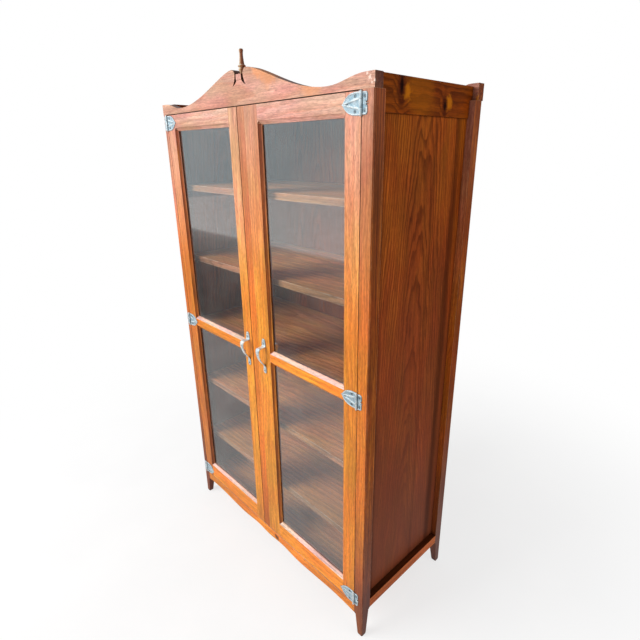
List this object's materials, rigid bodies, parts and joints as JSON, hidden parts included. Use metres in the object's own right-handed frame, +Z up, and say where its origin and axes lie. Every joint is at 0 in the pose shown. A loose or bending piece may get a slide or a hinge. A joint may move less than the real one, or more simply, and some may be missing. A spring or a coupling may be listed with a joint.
{
  "type": "glazed display cabinet",
  "caption": "Free-standing display cabinet on tapered feet with two glazed doors on surface hinges, housed shelves, a scrolled crest board with a turned finial and an open tray on top",
  "frame": {"origin": "on the floor under the middle of the whole part's bounding box", "axes": "X to the right seen from the front, Y towards the back, Z up"},
  "size_m": [0.965, 0.4692, 1.738],
  "materials": {
    "oak": "orange varnished oak, semi-gloss, faded paler towards the top",
    "pine": "dark red-brown varnished pine, semi-gloss, knotty",
    "shelf_pine": "mid-brown waxed pine, satin",
    "nickel": "dull nickel plate",
    "glass": "clear 3 mm window glass"
  },
  "bodies": {
    "carcase": {"front_left_post": "oak", "front_right_post": "oak", "rear_left_post": "oak", "rear_right_post": "oak", "left_side_rail": "pine", "left_side_panel": "pine", "left_side_top_board": "pine", "right_side_rail": "pine", "right_side_panel": "pine", "right_side_top_board": "pine", "front_apron": "oak", "rear_bottom_rail": "pine", "floor_board": "shelf_pine", "shelf_1": "shelf_pine", "shelf_2": "shelf_pine", "shelf_3": "shelf_pine", "shelf_4": "shelf_pine", "shelf_5": "shelf_pine", "top_board": "pine", "back_board_1": "pine", "back_board_2": "pine", "back_board_3": "pine", "back_board_4": "pine", "crest_board": "oak", "finial_plinth": "oak", "finial": "oak", "rear_gallery_board": "oak", "left_hinge_bottom_post_leaf": "nickel", "left_hinge_middle_post_leaf": "nickel", "left_hinge_top_post_leaf": "nickel", "right_hinge_bottom_post_leaf": "nickel", "right_hinge_middle_post_leaf": "nickel", "right_hinge_top_post_leaf": "nickel"},
    "left_door": {"left_door_bottom_rail": "oak", "left_door_middle_rail": "oak", "left_door_top_rail": "oak", "left_door_hinge_stile": "oak", "left_door_meeting_stile": "oak", "left_door_lower_glass": "glass", "left_door_lower_glass_bead": "oak", "left_door_upper_glass": "glass", "left_door_upper_glass_bead": "oak", "left_door_pull": "nickel", "left_hinge_bottom_door_leaf": "nickel", "left_hinge_middle_door_leaf": "nickel", "left_hinge_top_door_leaf": "nickel"},
    "right_door": {"right_door_bottom_rail": "oak", "right_door_middle_rail": "oak", "right_door_top_rail": "oak", "right_door_hinge_stile": "oak", "right_door_meeting_stile": "oak", "right_door_lower_glass": "glass", "right_door_lower_glass_bead": "oak", "right_door_upper_glass": "glass", "right_door_upper_glass_bead": "oak", "right_door_pull": "nickel", "right_door_edge_strip": "oak", "right_hinge_bottom_door_leaf": "nickel", "right_hinge_middle_door_leaf": "nickel", "right_hinge_top_door_leaf": "nickel"}
  },
  "joints": [
    {"name": "left_door_hinge", "type": "hinge", "parent": "carcase", "child": "left_door", "pos_m": [-0.4585, -0.208, 0], "axis": [0, 0, -1], "range_deg": [0, 170]},
    {"name": "right_door_hinge", "type": "hinge", "parent": "carcase", "child": "right_door", "pos_m": [0.4465, -0.208, 0], "axis": [0, 0, 1], "range_deg": [0, 170]}
  ]
}
